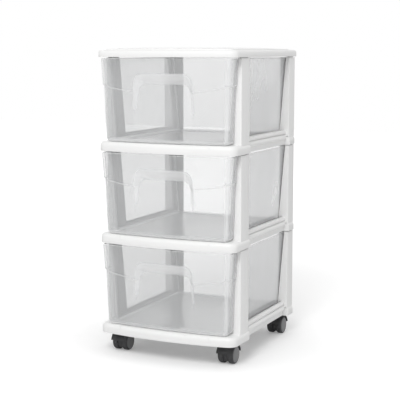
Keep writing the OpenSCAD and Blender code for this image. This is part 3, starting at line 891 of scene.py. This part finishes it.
# %% A whole drawer
def drawer_skin():
    """Rows up the outside, over the rounded upper edge and down the inside, and the stop under the floor."""
    shoulder = DRAWER_H - 1.0
    low = [FRONT_TUCK * (1 - math.cos(a)) for a in np.radians(np.linspace(0, 90, 9))]
    mid = list(np.arange(10.3, 150.0, 1.35))
    band = [v for v in mid if abs(v - BAND_Z) > 2.0] + [BAND_Z + 0.5 * i for i in range(-4, 5)]
    heights = sorted(low + band + [152.5, 156, 160, 164, 167.5, shoulder])
    rows = [level(h, 0) for h in heights]
    top_out, top_in = level(shoulder, 0), level(shoulder, 1)
    for a in np.radians(np.linspace(15, 165, 7)):
        t, z = (1 - math.cos(a)) / 2, shoulder + math.sin(a)
        pairs = zip(top_out, top_in)
        rows.append([(p[0] * (1 - t) + q[0] * t, p[1] * (1 - t) + q[1] * t, z) for p, q in pairs])
    for h in reversed(heights):
        if h > DRAWER_WALL + 0.05:
            rows.append(level(h, 1))
    rows.append(level(DRAWER_WALL, 1))
    skin = Skin()
    skin.loft(rows)
    skin.take(eased_block((-40, REAR_POST_FRONT - 4, -4), (40, REAR_POST_FRONT - 1, 1.2), 0.5))
    return skin


DRAWER = drawer_skin()
print("faces in a drawer:", len(DRAWER.faces))
for name, z in TIER_Z.items():
    placed = Skin()
    placed.take(DRAWER, z + DRAWER_LIFT)
    drawer = f"{name}_drawer"
    piece(placed.mesh(f"{drawer}_moulding"), [CLEAR], drawer, drawer, sharp=50)

# %% [markdown]
# ## The casters
# Each caster is a twin wheel under a round hood. A wheel is a lathe form, so a half profile is turned
# round the axle. The hoods, stems and axles are copies of the CAD solids: a copy is merged, its edges are
# rounded a little, and it gets its finish.

# %% A wheel turned on its axle
WHEEL_R, WHEEL_IN = 19.0, 5.0


def wheel_skin(x, y, side):
    """side is 1 for the wheel on the right of the hood's web, and -1 for the one on the left."""
    tread = [(WHEEL_R, 2.2), (WHEEL_R, 4.2), (18.85, 4.5), (WHEEL_R, 4.8), (WHEEL_R, 8.6)]
    profile = [(2.6, 0.3), (6, 0.3), (6.4, 0.0), (16.8, 0.0), (18.0, 0.35), (18.8, 1.2)] + tread
    profile += [(18.7, 10.0), (17.9, 11.3), (16.9, 12.0), (16.2, 12.25)]
    cap = [(15.9, 12.2), (15.6, 12.05), (15.2, 12.2)]
    cap += [(14.8 * math.cos(a), 12.2 + 1.25 * math.sin(a)) for a in np.radians(np.linspace(8, 88, 9))]
    points = profile + cap + [(0.05, 13.45)]
    steps = 72
    turns = np.linspace(0, 2 * math.pi, steps, endpoint=False)
    rows = []
    for r, along in points:
        px = x + side * (WHEEL_IN + along)
        rows.append([(px, y + r * math.cos(a), WHEEL_R + r * math.sin(a)) for a in turns])
    skin = Skin()
    skin.loft(rows)
    for i in range(len(skin.slots)):
        if i // steps >= len(profile) - 1:
            skin.slots[i] = 1
    if side < 0:
        skin.faces = [tuple(reversed(f)) for f in skin.faces]
    return skin


# %% Copies of CAD nodes with eased edges
def eased_copy(node, name, material, body, ease):
    """A merged copy of a CAD node with its edges rounded by ease millimetres."""
    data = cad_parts[node].data.copy()
    data.name = name
    data.materials.clear()
    shape = bmesh.new()
    shape.from_mesh(data)
    bmesh.ops.remove_doubles(shape, verts=shape.verts, dist=0.00002)
    bmesh.ops.dissolve_limit(shape, angle_limit=math.radians(1), verts=shape.verts, edges=shape.edges)
    edges = [e for e in shape.edges if len(e.link_faces) == 2 and e.calc_face_angle(0.0) > math.radians(40)]
    bmesh.ops.bevel(shape, geom=edges, offset=ease * MM, segments=2, profile=0.5, affect="EDGES",
                    clamp_overlap=True)
    shape.to_mesh(data)
    shape.free()
    piece(data, [material], body, node, sharp=35)


# %% The four casters
STEM_X, STEM_FRONT, STEM_REAR = 123.5, POST_FRONT + 16, POST_BACK - 24.5
TRAIL = 7
for fore, y, turn in (("front", STEM_FRONT, -1), ("rear", STEM_REAR, 1)):
    for hand, x in (("left", -STEM_X), ("right", STEM_X)):
        place = f"{fore}_{hand}"
        for letter, side in (("a", -1), ("b", 1)):
            wheel = f"{place}_wheel_{letter}"
            turned = wheel_skin(x, y + TRAIL * turn, side).mesh(f"{wheel}_turned")
            piece(turned, [TYRE, CAP], wheel, wheel)
        eased_copy(f"{place}_hood", f"{place}_hood_moulding", HOOD, f"{place}_caster", 0.4)
        eased_copy(f"{place}_stem", f"{place}_stem_pin", STEEL, "tower", 0.3)
        eased_copy(f"{place}_axle", f"{place}_axle_pin", STEEL, f"{place}_caster", 0.3)

# %% [markdown]
# ## Floor, light and camera
# The tower stands on a white floor in front of a white background. The world lights it at a strength of
# 0.55, but is white where the camera, a reflection or a refraction looks at it. A pale floor alone would
# turn grey where the lamps are weak, so it glows for the camera, a little close to the tower and more
# further out. Its glow is weakest under and just round the tower, which paints shade there on top of the
# tower's real shadow. The strong lamp hangs high in front, so the front is bright and the right side
# greyer. A weak one stands on the right.


# %% The floor and the world
def floor_finish():
    f = Finish("floor_paper")
    grain = f.noise(300.0, 2.0)
    seen = Num(f.tree, f.node("ShaderNodeLightPath").outputs["Is Camera Ray"])
    colour = f.blend(grain, (0.88, 0.88, 0.88), (0.9, 0.9, 0.9))
    paper = f.node("ShaderNodeBsdfDiffuse", Color=colour)
    place = f.node("ShaderNodeTexCoord").outputs["Object"]
    length = f.node("ShaderNodeVectorMath", {"operation": "LENGTH"}, Vector=place)
    away = Num(f.tree, length.outputs["Value"])
    # This ramp is 0 under the tower, so the glow is weaker there: painted shade under and round the tower, on
    # top of its real shadow.
    beyond_painted_shade = ((away - 0.13) * 5.0).clamped(0.0, 1.0)
    far = ((away - 0.3) * 0.5).clamped(0.0, 1.0)
    glow = f.node("ShaderNodeEmission", Color=(1, 1, 1, 1), Strength=seen * (0.15 + 0.2 * beyond_painted_shade + 0.34 * far))
    both = f.tree.nodes.new("ShaderNodeAddShader")
    f.tree.links.new(paper.outputs[0], both.inputs[0])
    f.tree.links.new(glow.outputs[0], both.inputs[1])
    f.surface(both.outputs[0])
    return f.material


floor_skin = plain_block((-6000, -6000, -20), (6000, 6000, 0))
floor = solid(floor_skin, "floor")
floor.data.materials.append(floor_finish())

world = bpy.data.worlds.new("studio")
bpy.context.scene.world = world
world.use_nodes = True
tree = world.node_tree
tree.nodes.clear()
out = tree.nodes.new("ShaderNodeOutputWorld")
path = tree.nodes.new("ShaderNodeLightPath")
camera_ray, glossy_ray, through_ray = [
    Num(tree, path.outputs[f"Is {kind} Ray"]) for kind in ("Camera", "Glossy", "Transmission")]
seen = camera_ray + glossy_ray + through_ray
strength = seen.clamped(0.0, 1.0) * 0.45 + 0.55
back = tree.nodes.new("ShaderNodeBackground")
back.inputs["Color"].default_value = (1, 1, 1, 1)
tree.links.new(strength.socket, back.inputs["Strength"])
tree.links.new(back.outputs[0], out.inputs["Surface"])
print("world strength for light 0.55, for the camera 1")


# %% Lamps
def soft_lamp(name, place, aim, size, power):
    data = bpy.data.lights.new(name, "AREA")
    data.shape, data.size, data.energy = "DISK", size, power
    obj = bpy.data.objects.new(name, data)
    obj.location = place
    obj.rotation_euler = (Vector(aim) - Vector(place)).to_track_quat("-Z", "Y").to_euler()
    bpy.context.scene.collection.objects.link(obj)


soft_lamp("key", (0.5, -2.4, 2.4), (0, 0, 0.32), 1.4, 46.0)
soft_lamp("fill", (2.6, -0.6, 1.0), (0, 0, 0.32), 1.2, 3.0)

# %% [markdown]
# ## The camera
# The camera was found by fitting a pinhole camera to points measured in the photograph. It stands a little
# over two metres away, at the height of the top panel, to the right of the tower.

# %% Camera from the fit
EYE = Vector((1.0084, -2.1176, 0.6420))
YAW, PITCH = math.radians(25.39), math.radians(7.90)
FOCAL, PICTURE, SENSOR = 1094.6, 400.0, 36.0
ahead = Vector((-math.sin(YAW) * math.cos(PITCH), math.cos(YAW) * math.cos(PITCH), -math.sin(PITCH)))
camera_data = bpy.data.cameras.new("camera")
camera_data.sensor_width = SENSOR
camera_data.lens = FOCAL * SENSOR / PICTURE
camera = bpy.data.objects.new("camera", camera_data)
camera.matrix_world = Matrix.Translation(EYE) @ ahead.to_track_quat("-Z", "Y").to_matrix().to_4x4()
bpy.context.scene.collection.objects.link(camera)
bpy.context.scene.camera = camera
bpy.context.scene.view_settings.view_transform = "Standard"
print("lens in millimetres:", round(camera_data.lens, 1))
